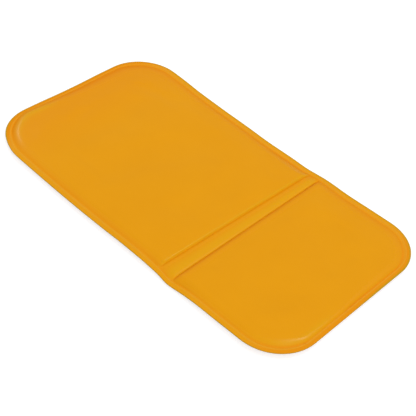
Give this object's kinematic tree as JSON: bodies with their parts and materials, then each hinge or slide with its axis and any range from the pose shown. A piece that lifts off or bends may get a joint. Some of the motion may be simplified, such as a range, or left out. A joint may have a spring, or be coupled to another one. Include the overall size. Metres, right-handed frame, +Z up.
{
  "type": "laptop cooling pad",
  "caption": "Soft folding laptop cooling pad: two padded panels joined by a narrow spine, welded flat rim, heat-absorbing crystal packs inside.",
  "frame": {"origin": "middle of the pad's footprint, on the surface that it lies on", "axes": "+X along the pad towards the small panel's end, +Y across it, +Z up out of the table"},
  "size_m": [0.4, 0.225, 0.0084],
  "materials": {
    "orange_skin": "smooth coated skin, satin",
    "foam": "open-cell foam, matte",
    "film": "thin plastic film, glossy",
    "crystals": "packed salt crystals, matte",
    "weld": "melted skin, satin"
  },
  "bodies": {
    "large_panel": {"large_top_skin": "orange_skin", "large_top_foam": "foam", "large_upper_film": "film", "large_crystal_cells": "crystals", "large_lower_film": "film", "large_bottom_foam": "foam", "large_bottom_skin": "orange_skin"},
    "spine": {"spine_top_skin": "orange_skin", "spine_foam_strip": "foam", "spine_bottom_skin": "orange_skin", "large_fold_weld": "weld", "small_fold_weld": "weld"},
    "small_panel": {"small_top_skin": "orange_skin", "small_top_foam": "foam", "small_upper_film": "film", "small_crystal_cells": "crystals", "small_lower_film": "film", "small_bottom_foam": "foam", "small_bottom_skin": "orange_skin"}
  },
  "joints": [
    {"name": "large_fold", "type": "hinge", "parent": "large_panel", "child": "spine", "pos_m": [0.0505, 0, 0.0011], "axis": [0, 1, 0], "range_deg": [-90, 90]},
    {"name": "small_fold", "type": "hinge", "parent": "spine", "child": "small_panel", "pos_m": [0.0675, 0, 0.0011], "axis": [0, 1, 0], "range_deg": [-90, 90]}
  ]
}
